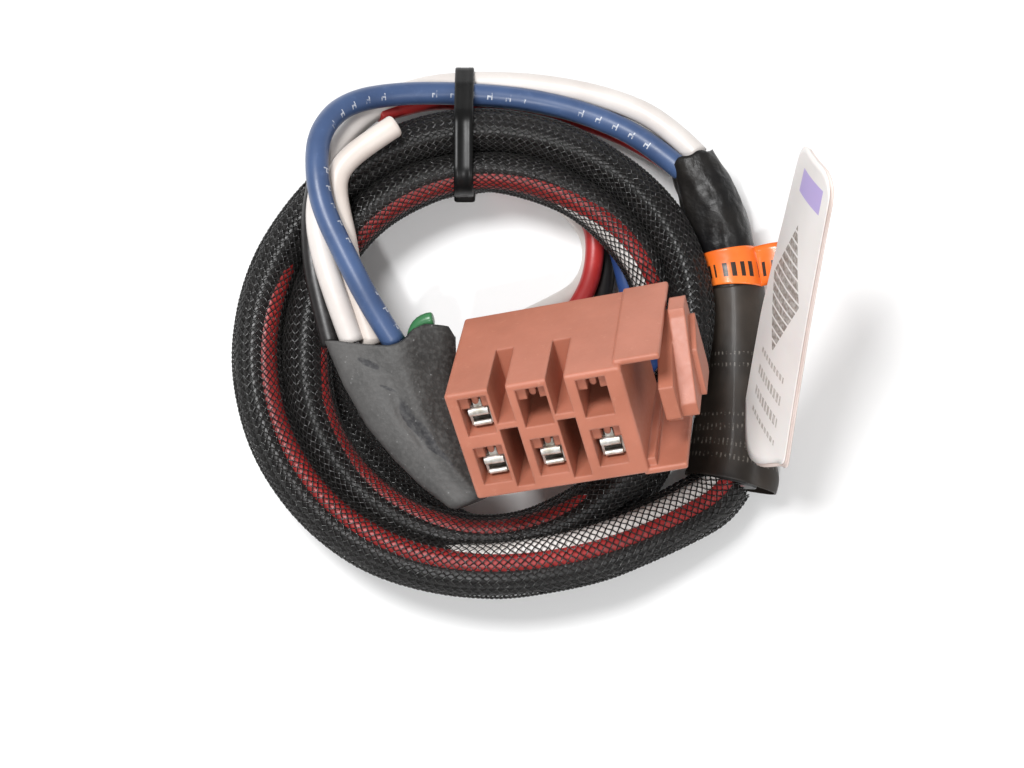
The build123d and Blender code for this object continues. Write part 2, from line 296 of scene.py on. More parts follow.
def join_grids(name, parts):
    """Several capped tubes as one object; each part is its rings and its material's name."""
    verts, faces, slots, materials = [], [], [], []
    base = 0
    for rows, material in parts:
        count, around, _ = rows.shape
        quads = ring_quads(count, around) + base
        verts.append(rows.reshape(-1, 3))
        faces += quads.tolist()
        faces += [[base + n for n in cap] for cap in end_caps(count, around)]
        if material not in materials:
            materials.append(material)
        slots += [materials.index(material)] * (len(quads) + 2)
        base += count * around
    obj, mesh = finish_mesh(name, np.concatenate(verts), faces, materials)
    mesh.polygons.foreach_set("material_index", slots)
    mesh.update()
    return obj


def piece(obj, slot_name, *nodes, body="loom"):
    """Says which body a piece rides and hides the CAD nodes it stands for; the slot name is not used."""
    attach(obj, body)
    if nodes:
        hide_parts(*nodes)
    return obj


# ---- materials
PRINT_GREY = (0.58, 0.60, 0.64)
PRINT_PITCH = 3.0        # millimetres between marks on the blue wire
# darker patches painted along the boot's crease as painted shade: place down it, place across it, half
# length, half width
CREASE_SHADE_PATCHES = [
    (0.50, 0.50, 0.17, 0.045), (0.66, 0.53, 0.12, 0.035), (0.12, 0.33, 0.05, 0.05), (0.28, 0.40, 0.03, 0.03),
]


class Nodes:
    """A short way to build a node tree on one Principled shader."""

    def __init__(self, name, colour, roughness, **sockets):
        self.material = bpy.data.materials.new(name)
        self.material.use_nodes = True
        self.tree = self.material.node_tree
        self.shader = self.tree.nodes["Principled BSDF"]
        self.fill(self.shader, Base_Color=(*colour, 1), Roughness=roughness, **sockets)

    def fill(self, node, **values):
        """Sets a node's sockets, or else its properties, by name."""
        for key, value in values.items():
            socket = key.replace("_", " ")
            if socket in node.inputs:
                node.inputs[socket].default_value = value
            else:
                setattr(node, key, value)
        return node

    def add(self, kind, **values):
        return self.fill(self.tree.nodes.new(kind), **values)

    def link(self, a, b):
        self.tree.links.new(a, b)

    def texture(self, kind, scale, **values):
        """A texture in object space: a noise gives its grey value, a Voronoi its distance."""
        where = self.add("ShaderNodeTexCoord")
        node = self.add(kind, Scale=scale, **values)
        self.link(where.outputs["Object"], node.inputs["Vector"])
        return node.outputs["Distance" if kind == "ShaderNodeTexVoronoi" else "Fac"]

    def noise(self, scale, detail, **values):
        return self.texture("ShaderNodeTexNoise", scale, Detail=detail, **values)

    def ramp(self, value, low_at, low, high_at, high):
        """From one colour to another as the value rises; a bare number is a grey."""
        node = self.add("ShaderNodeValToRGB")
        for element, at, colour in zip(node.color_ramp.elements, (low_at, high_at), (low, high)):
            element.position = at
            element.color = (*(colour if isinstance(colour, tuple) else (colour,) * 3), 1)
        self.link(value, node.inputs["Fac"])
        return node.outputs["Color"]

    def spread(self, value, low, high):
        node = self.add("ShaderNodeMapRange", To_Min=low, To_Max=high)
        self.link(value, node.inputs["Value"])
        return node.outputs["Result"]

    def maths(self, operation, a, b=None):
        node = self.add("ShaderNodeMath", operation=operation)
        for slot, value in zip(node.inputs, (a, b)):
            if value is None:
                continue
            if isinstance(value, (int, float)):
                slot.default_value = value
            else:
                self.link(value, slot)
        return node.outputs[0]

    def times(self, first, *others):
        for other in others:
            first = self.maths("MULTIPLY", first, other)
        return first

    def repeat(self, value, size, operation="MULTIPLY"):
        """How far through its present repeat the value is, 0 to 1."""
        return self.maths("FRACT", self.maths(operation, value, size))

    def off_middle(self, value, middle, half):
        """Distance from the middle, in half widths."""
        return self.maths("DIVIDE", self.maths("SUBTRACT", value, middle), half)

    def within(self, value, low, high):
        """1 where the value is between the two limits, else 0."""
        return self.times(self.maths("GREATER_THAN", value, low), self.maths("LESS_THAN", value, high))

    def uv(self):
        """The two texture coordinates: along and round, or along and across."""
        where = self.add("ShaderNodeTexCoord")
        split = self.add("ShaderNodeSeparateXYZ")
        self.link(where.outputs["UV"], split.inputs["Vector"])
        return split.outputs["X"], split.outputs["Y"]

    def mix(self, factor, a, b):
        node = self.add("ShaderNodeMix", data_type="RGBA")
        self.link(factor, node.inputs["Factor"])
        for slot, value in ((node.inputs[6], a), (node.inputs[7], b)):
            if isinstance(value, tuple):
                slot.default_value = (*value, 1)
            else:
                self.link(value, slot)
        return node.outputs[2]

    def bump(self, height, strength, distance, under=None):
        node = self.add("ShaderNodeBump", Strength=strength, Distance=distance)
        self.link(height, node.inputs["Height"])
        if under is not None:
            self.link(under, node.inputs["Normal"])
        return node.outputs["Normal"]

    def finish(self, colour, value, low, high, *relief):
        """Links the colour, a roughness that follows the value, and the relief."""
        if colour:
            self.link(colour, self.shader.inputs["Base Color"])
        self.link(self.spread(value, low, high), self.shader.inputs["Roughness"])
        if relief:
            self.link(self.bump(*relief), self.shader.inputs["Normal"])
        return self.material


def insulation(name, colour, deeper, roughness=0.33, soil=0.25, print_band=None):
    """PVC wire insulation: slow colour drift, scuffs and optional print."""
    n = Nodes(name, colour, roughness, Specular_IOR_Level=0.5)
    scuff = n.noise(520.0, 6.0, Roughness=0.7)
    shade = n.mix(n.ramp(n.noise(90.0, 4.0), 0.35, 0.0, 0.7, 1.0), deeper, colour)
    paler = tuple(min(1.0, c * 1.25 + 0.04) for c in colour)
    shade = n.mix(n.ramp(scuff, 0.56, 0.0, 0.72, soil), shade, paler)
    if print_band:
        shade = n.mix(wire_print(n, scuff, *print_band), shade, PRINT_GREY)
    return n.finish(shade, scuff, roughness - 0.07, roughness + 0.16, scuff, 0.12, 0.0002)


def wire_print(n, scuff, start, stop):
    """Small worn ticks and dashes along one side of a wire: a mask, 1 where the ink is."""
    along, turn = n.uv()
    cell = n.repeat(along, PRINT_PITCH, "DIVIDE")
    group = n.repeat(along, PRINT_PITCH * 7.3, "DIVIDE")
    turn = n.maths("FRACT", turn)
    middle = (start + stop) / 2
    tick = n.times(n.within(cell, 0.30, 0.36), n.within(turn, start, stop))
    dash = n.times(n.within(cell, 0.36, 0.58), n.within(turn, middle - 0.012, middle + 0.012))
    dot = n.times(n.within(cell, 0.52, 0.58), n.within(turn, start, middle))
    ink = n.maths("MAXIMUM", n.maths("MAXIMUM", tick, dash), dot)
    worn = n.ramp(scuff, 0.38, 0.0, 0.5, 0.8)
    return n.times(ink, n.maths("GREATER_THAN", group, 0.30), worn)


def braid_filament():
    n = Nodes("braid_filament", (0.012, 0.012, 0.012), 0.2, Specular_IOR_Level=0.5)
    streak = n.noise(900.0, 3.0)
    tone = n.ramp(streak, 0.3, (0.006, 0.006, 0.006), 0.7, (0.022, 0.021, 0.020))
    return n.finish(tone, streak, 0.12, 0.28)


def heat_shrink():
    n = Nodes("heat_shrink_black", (0.010, 0.010, 0.011), 0.2, Specular_IOR_Level=0.3)
    fine = n.noise(520.0, 6.0, Roughness=0.65)
    slow = n.noise(150.0, 3.0)
    tone = n.ramp(slow, 0.3, (0.004, 0.004, 0.005), 0.75, (0.018, 0.016, 0.014))
    return n.finish(tone, slow, 0.22, 0.46, fine, 0.3, 0.0006, n.bump(slow, 0.5, 0.002))


def clear_wrap():
    """Clear film wound over the black tube, with worn grey rows of ticks under it."""
    n = Nodes("clear_wrap_over_black", (0.026, 0.022, 0.018), 0.3, Coat_Weight=0.05,
              Coat_Roughness=0.10, Specular_IOR_Level=0.35)
    slow = n.noise(120.0, 3.0)
    tone = n.ramp(slow, 0.3, (0.012, 0.009, 0.007), 0.7, (0.040, 0.030, 0.023))
    along, turn = n.uv()
    row = n.repeat(along, 2.4, "DIVIDE")
    tick = n.repeat(turn, 46.0)
    printed = n.maths("ADD", n.within(along, 32.4, 34.8), n.within(along, 42.0, 49.4))
    worn = n.ramp(n.noise(1800.0, 2.0), 0.42, 0.0, 0.60, 0.34)
    ink = n.times(n.within(row, 0.25, 0.72), n.within(tick, 0.2, 0.55), printed, worn)
    return n.finish(n.mix(ink, tone, (0.36, 0.33, 0.29)), slow, 0.40, 0.60, slow, 0.3, 0.0015)


def orange_vinyl():
    """Glossy orange label film with a generic row of black blocks of uneven width."""
    n = Nodes("orange_vinyl", (0.85, 0.17, 0.02), 0.25, Coat_Weight=0.3, Coat_Roughness=0.08)
    slow = n.noise(150.0, 3.0)
    tone = n.ramp(slow, 0.3, (0.74, 0.13, 0.015), 0.7, (0.90, 0.20, 0.03))
    along, turn = n.uv()
    turn = n.maths("FRACT", turn)
    bars = n.within(n.repeat(turn, 21.0), 0.18, 0.74)
    gaps = n.maths("GREATER_THAN", n.repeat(turn, 9.0), 0.22)
    ink = n.times(bars, gaps, n.within(along, 2.7, 5.0))
    return n.finish(n.mix(ink, tone, (0.030, 0.018, 0.012)), slow, 0.18, 0.34, slow, 0.2, 0.001)


def label_stock():
    """White coated label stock: a lavender block, a generic grey lozenge and rows of grey dashes."""
    n = Nodes("label_stock", (0.84, 0.81, 0.80), 0.4, Subsurface_Weight=0.05, Subsurface_Scale=0.001)
    slow = n.noise(70.0, 3.0)
    fine = n.noise(1500.0, 3.0)
    shade = n.ramp(slow, 0.3, (0.72, 0.68, 0.66), 0.7, (0.80, 0.77, 0.75))
    along, across = n.uv()
    block = n.times(n.within(along, 0.855, 0.935), n.within(across, 0.30, 0.86))
    reach = n.maths("ABSOLUTE", n.off_middle(along, 0.53, 0.23))
    spread = n.maths("ABSOLUTE", n.off_middle(across, 0.47, 0.36))
    lozenge = n.maths("LESS_THAN", n.maths("ADD", reach, spread), 1.0)
    hatch = n.maths("GREATER_THAN", n.repeat(along, 30.0), 0.22)
    rows = n.times(n.within(n.repeat(along, 0.078, "DIVIDE"), 0.2, 0.62), n.within(along, 0.03, 0.27))
    ticks = n.maths("GREATER_THAN", n.repeat(across, 15.0), 0.35)
    worn = n.ramp(fine, 0.35, 0.55, 0.6, 1.0)
    shade = n.mix(block, shade, (0.46, 0.38, 0.66))
    shade = n.mix(n.times(lozenge, hatch, worn), shade, (0.25, 0.215, 0.19))
    shade = n.mix(n.times(rows, ticks, n.within(across, 0.22, 0.78), worn), shade, (0.40, 0.36, 0.33))
    return n.finish(shade, slow, 0.3, 0.5, fine, 0.05, 0.0001)


def label_backing():
    n = Nodes("label_backing", (0.70, 0.58, 0.53), 0.45)
    slow = n.noise(90.0, 3.0)
    return n.finish(n.ramp(slow, 0.3, (0.62, 0.50, 0.45), 0.7, (0.78, 0.68, 0.64)), slow, 0.35, 0.55)


def boot_rubber():
    """Matt charcoal with grain and whitish specks; its left face is painted paler as painted light, its
    right face darker as painted shade, and darker patches by its crease are painted shade.
    """
    n = Nodes("boot_charcoal", (0.035, 0.036, 0.038), 0.62)
    grain = n.noise(1500.0, 2.0)
    slow = n.noise(170.0, 5.0)
    down, round_it = n.uv()
    # painted light and shade: a paler tone for the left face, as if lit, and a darker one for the right
    # face, as if shaded
    lit_side_tone = n.ramp(slow, 0.3, (0.045, 0.044, 0.043), 0.7, (0.082, 0.079, 0.077))
    shaded_side_tone = n.ramp(slow, 0.3, (0.018, 0.017, 0.016), 0.7, (0.036, 0.034, 0.032))
    wander = n.maths("ADD", round_it, n.spread(slow, -0.10, 0.10))
    base = n.mix(n.ramp(wander, 0.48, 0.0, 0.60, 1.0), lit_side_tone, shaded_side_tone)
    # painted shade: darker patches along the crease
    for along, across, long_half, wide_half in CREASE_SHADE_PATCHES:
        u = n.off_middle(down, along, long_half)
        v = n.off_middle(wander, n.maths("ADD", across, n.times(u, 0.05)), wide_half)
        far = n.maths("ADD", n.times(u, u), n.times(v, v))
        base = n.mix(n.ramp(far, 0.55, 0.85, 0.95, 0.0), base, (0.014, 0.014, 0.017))
    base = n.mix(n.ramp(grain, 0.45, 0.0, 0.65, 0.35), base, (0.10, 0.098, 0.095))
    dots = n.ramp(n.texture("ShaderNodeTexVoronoi", 1300.0), 0.10, 1.0, 0.2, 0.0)
    base = n.mix(n.times(dots, n.ramp(grain, 0.56, 0.0, 0.63, 0.5)), base, (0.30, 0.30, 0.30))
    return n.finish(base, slow, 0.5, 0.75, grain, 0.5, 0.0002)


def terracotta():
    """Moulded nylon with rounded edges, slow colour drift, flecks and a fine grain."""
    n = Nodes("terracotta_nylon", (0.43, 0.150, 0.092), 0.42, Subsurface_Weight=0.08,
              Subsurface_Radius=(0.002, 0.001, 0.0007), Subsurface_Scale=0.4)
    grain = n.noise(1400.0, 2.0)
    tone = n.ramp(n.noise(120.0, 4.0), 0.3, (0.38, 0.130, 0.078), 0.7, (0.47, 0.168, 0.106))
    fleck = n.ramp(n.noise(700.0, 5.0, Roughness=0.7), 0.60, 0.0, 0.75, 0.45)
    shade = n.mix(fleck, tone, (0.56, 0.26, 0.18))
    rounded = n.add("ShaderNodeBevel", samples=6, Radius=0.0005)
    return n.finish(shade, grain, 0.36, 0.52, grain, 0.18, 0.00008, rounded.outputs["Normal"])


def terminal_metal():
    n = Nodes("tinned_terminal", (0.62, 0.59, 0.52), 0.42, Metallic=0.75)
    streak = n.noise(900.0, 4.0)
    tone = n.ramp(streak, 0.3, (0.46, 0.43, 0.36), 0.62, (0.80, 0.79, 0.76))
    return n.finish(tone, streak, 0.36, 0.58, streak, 0.2, 0.0002)


def tie_nylon():
    n = Nodes("tie_nylon", (0.005, 0.005, 0.005), 0.42, Specular_IOR_Level=0.2)
    slow = n.noise(400.0, 3.0)
    return n.finish(None, slow, 0.2, 0.42, slow, 0.1, 0.0002)


MATERIAL = {
    "braid": braid_filament(),
    "blue": insulation("blue_pvc", (0.060, 0.105, 0.225), (0.040, 0.070, 0.155), print_band=(0.14, 0.24)),
    "blue_plain": insulation("blue_pvc_plain", (0.030, 0.085, 0.30), (0.022, 0.060, 0.20)),
    "white": insulation("white_pvc", (0.70, 0.66, 0.63), (0.60, 0.55, 0.52), soil=0.1),
    "white_inner": insulation("white_pvc_inner", (0.86, 0.83, 0.80), (0.76, 0.72, 0.69), soil=0.1),
    "cream": insulation("cream_pvc", (0.72, 0.66, 0.61), (0.60, 0.53, 0.48), soil=0.1),
    "black": insulation("black_pvc", (0.016, 0.014, 0.014), (0.010, 0.009, 0.009)),
    "red": insulation("red_pvc", (0.44, 0.030, 0.028), (0.30, 0.020, 0.020)),
    "green": insulation("green_pvc", (0.055, 0.22, 0.085), (0.030, 0.13, 0.05), roughness=0.25),
    "shrink": heat_shrink(),
    "wrap": clear_wrap(),
    "orange": orange_vinyl(),
    "label": label_stock(),
    "backing": label_backing(),
    "boot": boot_rubber(),
    "terracotta": terracotta(),
    "terminal": terminal_metal(),
    "tie": tie_nylon(),
}


# ---- the lead wires and the pigtails
BLUE = [
    (31.9, 29.2, 9.6), (26.6, 34.2, 9.0), (18.6, 38.7, 8.2), (8.6, 41.6, 8.0), (-2.6, 42.6, 8.4),
    (-13.0, 42.2, 10.0), (-21.2, 39.4, 14.2), (-25.0, 33.8, 18.0), (-25.3, 27.4, 20.2),
    (-24.2, 20.8, 20.6), (-20.6, 13.3, 20.3), (-16.6, 5.6, 19.9), (-13.0, 0.2, 18.2),
]
WHITE_OUTER = [
    (34.0, 32.0, 9.3), (29.0, 37.6, 8.8), (20.6, 42.0, 7.6), (8.8, 44.6, 6.9), (-2.9, 45.1, 6.4),
    (-11.6, 43.6, 7.2), (-18.4, 39.0, 9.6), (-22.4, 33.4, 12.6), (-24.6, 27.2, 15.4),
    (-25.5, 20.4, 17.0), (-24.2, 13.6, 17.8), (-22.1, 7.3, 17.8), (-19.6, 0.6, 16.6),
]
BLACK = [
    (33.6, 30.6, 5.6), (28.0, 35.4, 4.2), (19.6, 39.8, 2.9), (8.4, 42.9, 2.6), (-3.0, 43.6, 2.7),
    (-12.8, 43.0, 3.6), (-20.2, 39.8, 6.2), (-24.0, 34.6, 10.4), (-25.4, 28.0, 13.6),
    (-26.5, 20.8, 14.8), (-26.1, 14.0, 15.2), (-24.8, 7.6, 15.2), (-22.9, 0.6, 15.0),
]
WHITE_INNER = [
    (-16.6, 0.4, 15.4), (-19.0, 7.2, 15.8), (-20.2, 12.0, 16.2), (-20.9, 16.8, 16.4),
    (-22.0, 21.4, 16.6), (-22.6, 25.2, 16.8), (-21.8, 28.2, 17.0), (-18.2, 31.6, 17.0),
    (-13.7, 34.6, 16.9),
]
RED = [
    (32.2, 29.6, 6.2), (27.0, 34.0, 5.0), (18.5, 38.4, 4.2), (7.5, 41.7, 4.2), (-2.9, 42.5, 4.2),
    (-10.0, 42.0, 5.6), (-16.2, 38.7, 9.2),
]
GREEN = [(-10.2, -0.6, 17.6), (-10.6, 3.4, 18.8), (-7.6, 3.7, 19.4)]

PIGTAILS = {
    "white": [
        (1.05, 29.75, 5.35), (7.2, 29.1, 4.4), (12.8, 26.3, 3.0), (17.0, 21.9, 1.7), (17.6, 16.6, 1.8),
        (15.4, 11.6, 3.6), (10.4, 8.0, 7.6), (5.6, 4.6, 13.0), (3.55, 0.85, 17.5),
    ],
    "red": [
        (1.05, 29.75, 2.25), (7.2, 29.1, 3.2), (13.4, 26.6, 4.6), (17.6, 22.4, 5.0), (17.9, 16.6, 4.8),
        (16.4, 10.6, 5.8), (12.0, 4.4, 7.4), (7.2, -1.4, 9.6), (5.3, -5.4, 12.8),
    ],
    "black": [
        (1.15, 32.85, 2.25), (7.8, 32.1, 2.1), (14.2, 28.9, 1.75), (18.8, 23.7, 1.65), (19.9, 16.8, 1.9),
        (19.0, 9.4, 4.2), (16.8, 3.0, 7.8), (14.4, -1.0, 11.4), (13.4, -4.4, 15.0),
    ],
    "blue": [
        (1.15, 32.85, 5.35), (7.8, 32.1, 5.2), (14.4, 28.9, 4.9), (19.9, 23.7, 4.8), (21.9, 16.4, 4.9),
        (23.2, 9.6, 6.6), (25.6, 3.6, 9.6), (26.2, -1.6, 13.4), (23.9, -3.9, 16.6), (21.4, -3.45, 17.2),
    ],
}

HEAVY_WIRE_R = 1.8
BLACK_WIRE_R = 1.6
RED_WIRE_R = 1.25
GREEN_WIRE_R = 1.1
PIGTAIL_R = 1.5
WIRE_SIDES = 24


def wire(name, cad_node, points, radius_mm, colour, far_end="object"):
    """One insulated wire along its spline, standing for its CAD tube, which it hides."""
    line = spline_line(points, name)
    radius = radius_mm * MM
    evened, _ = even_steps(line, radius * 0.5)
    shaped, radii = blunt_end(evened, radius, radius * 0.35) if far_end == "bare" else (evened, radius)
    seed = radius_mm * 40 + len(points)
    rows, pairs = tube_rows(shaped, radii, WIRE_SIDES, lump=0.018, seed=seed)
    slot = {"cream": "white", "blue_plain": "blue"}.get(colour, colour)
    obj = piece(grid_object(name, rows, colour, uv=pairs), f"{slot}_insulation", cad_node)


wire("lead_blue", "blue_wire", BLUE, HEAVY_WIRE_R, "blue")
wire("lead_white", "white_wire_outer", WHITE_OUTER, HEAVY_WIRE_R, "white")
wire("lead_black", "black_wire", BLACK, BLACK_WIRE_R, "black")
wire("lead_white_blunt", "white_wire_inner", WHITE_INNER, HEAVY_WIRE_R, "cream", "bare")
wire("lead_red", "red_wire", RED, RED_WIRE_R, "red", "bare")
wire("lead_green", "green_wire", GREEN, GREEN_WIRE_R, "green", "bare")
for hue, points in PIGTAILS.items():
    wire(f"tail_{hue}", f"pigtail_{hue}", points, PIGTAIL_R, "blue_plain" if hue == "blue" else hue)


# ---- the braided sleeve
TURN_START = 285.0       # angle at which the outer turn begins; the turns run clockwise from above
TURN_STEP = 15.0
LAST_SWEEP = 917.0

TAIL = [
    (37.9, -19.0, 6.1), (36.0, -21.6, 6.3), (32.2, -23.8, 7.2), (27.4, -26.4, 8.8),
    (22.2, -28.8, 10.2), (16.2, -31.0, 11.2),
]
# swept angle from TURN_START, turn radius, height, half width and half height of the sleeve
TURN_KEYS = [
    (-60, 33.6, 11.6, 3.9, 3.6), (-40, 33.6, 11.6, 4.5, 3.3), (-27, 33.6, 11.6, 4.7, 3.1),
    (-8, 33.6, 11.6, 4.6, 3.2), (0, 33.6, 11.6, 4.5, 3.2), (15, 33.3, 11.9, 4.3, 3.3),
    (40, 33.7, 11.5, 4.1, 3.4), (60, 34.2, 11.0, 3.9, 3.5), (105, 34.8, 10.5, 3.75, 3.5),
    (150, 35.3, 10.4, 3.6, 3.6), (195, 35.8, 10.4, 3.5, 3.6), (240, 35.4, 10.4, 3.4, 3.6),
    (258, 34.8, 10.6, 3.4, 3.5), (270, 33.7, 11.0, 3.4, 3.5), (285, 31.9, 11.6, 3.4, 3.5),
    (306, 29.8, 11.6, 3.5, 3.5), (327, 28.4, 10.4, 3.4, 3.5), (375, 28.4, 9.5, 3.4, 3.5),
    (420, 27.8, 9.8, 3.5, 3.5), (465, 27.1, 10.2, 3.7, 3.5), (510, 28.4, 10.3, 3.5, 3.6),
    (555, 29.2, 10.4, 3.1, 3.6), (600, 29.0, 10.4, 3.2, 3.6), (615, 28.8, 10.2, 3.3, 3.6),
    (647, 28.4, 3.9, 3.6, 3.6), (685, 31.3, 3.9, 3.7, 3.6), (735, 28.6, 3.9, 3.7, 3.6),
    (765, 24.8, 3.9, 3.8, 3.6), (795, 24.0, 3.9, 3.8, 3.6), (825, 26.4, 3.9, 3.7, 3.6),
    (855, 30.4, 3.9, 3.7, 3.6), (917, 31.3, 3.9, 3.7, 3.6),
]


def sleeve_control_points():
    """The tail's points, then those of the turns by a loop."""
    points = list(TAIL)
    widen = 1 / math.cos(math.radians(TURN_STEP / 2))
    for swept in np.append(np.arange(0, LAST_SWEEP, TURN_STEP), LAST_SWEEP):
        radius = at_keys(swept, TURN_KEYS, 1) * widen
        angle = math.radians(TURN_START - swept)
        points.append((radius * math.cos(angle), radius * math.sin(angle), at_keys(swept, TURN_KEYS, 2)))
    return points


STRANDS = 22
SECTIONS = 6             # pieces the braid is made in
PATH_STEP = 0.8 * MM
FINE_STEP = 0.27 * MM
BRAID_CELL = 1.27        # millimetres from one crossing to the next of the same pair
STRAND_WIDTH = 0.21
STRAND_THICK = 0.17
WEAVE = 0.10

# radius, colour, then swept angle, across its width (-1 inside, 1 outside), up (-1 to 1)
INNER_WIRES = [
    (1.85, "red", [
        (-60, 0.0, 0.62), (-30, 0.02, 0.62), (0, -0.10, 0.62), (30, -0.28, 0.58), (60, -0.42, 0.48),
        (105, -0.56, 0.34), (130, -0.60, 0.1), (150, -0.3, -0.4), (190, 0.0, -0.5), (300, 0.0, -0.5),
        (340, -0.30, 0.3), (375, -0.42, 0.46), (400, -0.58, 0.30), (430, -0.66, 0.12), (470, -0.64, 0.0),
        (500, -0.66, 0.16), (530, -0.64, 0.26), (575, -0.62, 0.30), (592, -0.40, 0.46), (606, -0.08, 0.58),
        (640, 0.1, 0.5), (700, 0.0, -0.5), (917, -0.4, -0.4)]),
    (2.0, "white_inner", [
        (-60, -0.48, 0.52), (-30, -0.50, 0.50), (-10, -0.58, 0.38), (8, -0.66, 0.20), (25, -0.60, -0.1),
        (50, -0.3, -0.5), (480, 0.0, -0.5), (505, -0.6, -0.30), (520, -0.6, -0.30), (535, -0.3, -0.5),
        (565, -0.4, -0.4), (580, -0.66, -0.02), (596, -0.64, 0.26), (615, -0.5, 0.42), (640, -0.5, 0.3),
        (700, 0.0, -0.5), (917, -0.4, 0.4)]),
    (1.8, "black", [
        (-60, 0.52, 0.42), (0, 0.46, 0.44), (60, 0.30, 0.54), (105, 0.16, 0.56), (165, -0.12, 0.60),
        (200, -0.12, 0.60), (300, 0.1, 0.56), (345, 0.34, 0.50), (375, 0.26, 0.54), (470, 0.0, 0.58),
        (530, 0.12, 0.56), (560, 0.24, 0.54), (600, 0.50, 0.36), (700, 0.1, 0.5), (917, 0.42, -0.4)]),
    (1.6, "blue_plain", [
        (-60, 0.2, -0.5), (105, 0.2, -0.5), (200, 0.4, -0.4), (290, 0.0, -0.3), (306, -0.5, 0.2),
        (320, -0.2, -0.4), (345, 0.3, -0.5), (555, 0.2, -0.5), (760, -0.2, -0.5), (917, 0.42, 0.4)]),
]
CORE_SHARE = 0.94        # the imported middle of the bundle, as a share of the sleeve's own size
CORE_DIP = 0.24          # how much less of it there is along the top, where the colours show
FULL_OUT = 0.70          # distance from the middle at which a wire lies against the braid


def sleeve_profile(swept):
    """Half width and half height, in metres, at each swept angle."""
    return at_keys(swept, TURN_KEYS, 3) * MM, at_keys(swept, TURN_KEYS, 4) * MM


def smooth_keys(swept, keys, column):
    """Values between the keys, eased so that nothing kinks."""
    window = np.hanning(21)
    padded = np.pad(at_keys(swept, keys, column), 10, mode="edge")
    return np.convolve(padded, window / window.sum(), mode="valid")


def swept_angle(line):
    """Angle swept round the coil at each point of the sleeve, negative along its tail."""
    offset = line - CENTRE
    angle = np.unwrap(np.arctan2(offset[:, 1], offset[:, 0]))
    swept = -(np.degrees(angle) - TURN_START)
    swept -= 360.0 * np.round((swept[0] + 45.0) / 360.0)
    return swept


def ribbon_rows(centre, across, out):
    """A flat closed strand: four points round it at each step."""
    half = STRAND_WIDTH * MM / 2
    thick = STRAND_THICK * MM / 2
    return np.stack(
        [centre - across * half, centre + out * thick, centre + across * half, centre - out * thick], 1
    )


def sleeve_filling(line):
    """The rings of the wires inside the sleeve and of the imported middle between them."""
    swept = swept_angle(line)
    half_w, half_h = sleeve_profile(swept)
    frames = level_frames(line)
    parts = []
    for radius, colour, keys in INNER_WIRES:
        across = smooth_keys(swept, keys, 1) / FULL_OUT
        lift = smooth_keys(swept, keys, 2) / FULL_OUT
        limit = np.maximum(1.0, np.hypot(across, lift))
        x = across / limit * (half_w - (radius + 0.2) * MM)
        z = lift / limit * (half_h - (radius + 0.2) * MM)
        centre = line + frames[1] * x[:, None] + frames[2] * z[:, None]
        parts.append((tube_rows(centre, radius * MM, 14)[0], colour))
    angles = tube_angles(28)
    share = CORE_SHARE - CORE_DIP * np.maximum(0.0, np.sin(angles))
    core = ring_grid(line, frames, share * half_w[:, None], angles, height=share * half_h[:, None])
    return parts + [(core, "black")]


def braid_section(name, part):
    """The strands of both hands over one stretch of the sleeve, woven over and under."""
    line = sleeve_fine[part]
    _, side, up = (f[part] for f in SLEEVE_FRAMES)
    along = SLEEVE_ALONG[part]
    half_w, half_h = (v[part] for v in SLEEVE_HALVES)
    lump = SLEEVE_LUMPS[part].T
    twist = 2 * math.pi / (STRANDS * BRAID_CELL * MM)
    weave = WEAVE * MM
    strands = []
    for hand in (1, -1):
        lift = hand * weave * np.cos(STRANDS * twist * along)
        for n in range(STRANDS):
            turn = 2 * np.pi * n / STRANDS + hand * twist * along
            c = np.cos(turn)
            s = np.sin(turn)
            lumps = lump[0] * c * c + lump[1] * s * s + lump[2] * c * s
            w = half_w + lift + lumps
            h = half_h + lift + lumps
            centre = line + side * (w * c)[:, None] + up * (h * s)[:, None]
            out = unit(side * (c / half_w)[:, None] + up * (s / half_h)[:, None])
            run = unit(np.gradient(centre, axis=0))
            across = unit(np.cross(run, out))
            strands.append((ribbon_rows(centre, across, unit(np.cross(across, run))), "braid"))
    return piece(join_grids(name, strands), "braid")


sleeve_line = spline_line(sleeve_control_points(), "sleeve_route")
sleeve_path, _ = even_steps(sleeve_line, PATH_STEP)
# the wires inside the sleeve stand for the CAD sleeve, and the braid rides the same body as them
core = join_grids("sleeve_wires", sleeve_filling(sleeve_path))
piece(core, "black_insulation", "sleeve_coil", "sleeve_tail")

sleeve_fine, SLEEVE_ALONG = even_steps(sleeve_line, FINE_STEP)
SLEEVE_FRAMES = level_frames(sleeve_fine)
SLEEVE_HALVES = sleeve_profile(swept_angle(sleeve_fine))
SLEEVE_LUMPS = np.array([
    [noise.noise(Vector((a * 90, 0.0, 7.0 * k))) * 0.30 * MM for k in range(3)] for a in SLEEVE_ALONG
])
edges = np.linspace(0, len(sleeve_fine) - 1, SECTIONS + 1).astype(int)
braids = [braid_section(f"braid_{n + 1}", slice(edges[n], edges[n + 1] + 1)) for n in range(SECTIONS)]


# ---- the shrink tube and what is wound round it
SHRINK_LINE = [
    (32.9, 31.6, 9.0), (34.3, 28.6, 8.8), (36.4, 23.6, 8.2), (38.4, 18.0, 7.4), (39.6, 12.0, 6.8),
    (39.8, 5.0, 6.5), (39.6, -2.5, 6.3), (39.4, -9.5, 6.2), (38.9, -15.0, 6.2), (37.9, -19.4, 6.1),
]
# distance from the mouth, outside radius
SHRINK_RADII = [(0, 3.85), (3, 4.15), (7, 4.6), (11, 4.6), (16, 4.35), (30, 4.5), (60, 4.5)]
WALL = 0.55
INSIDE_RINGS = 14        # rings of the inside wall at the torn mouth
BAND_ANGLES = tube_angles(96)


def shrink_radius(along):
    return at_keys(along / MM, SHRINK_RADII, 1) * MM


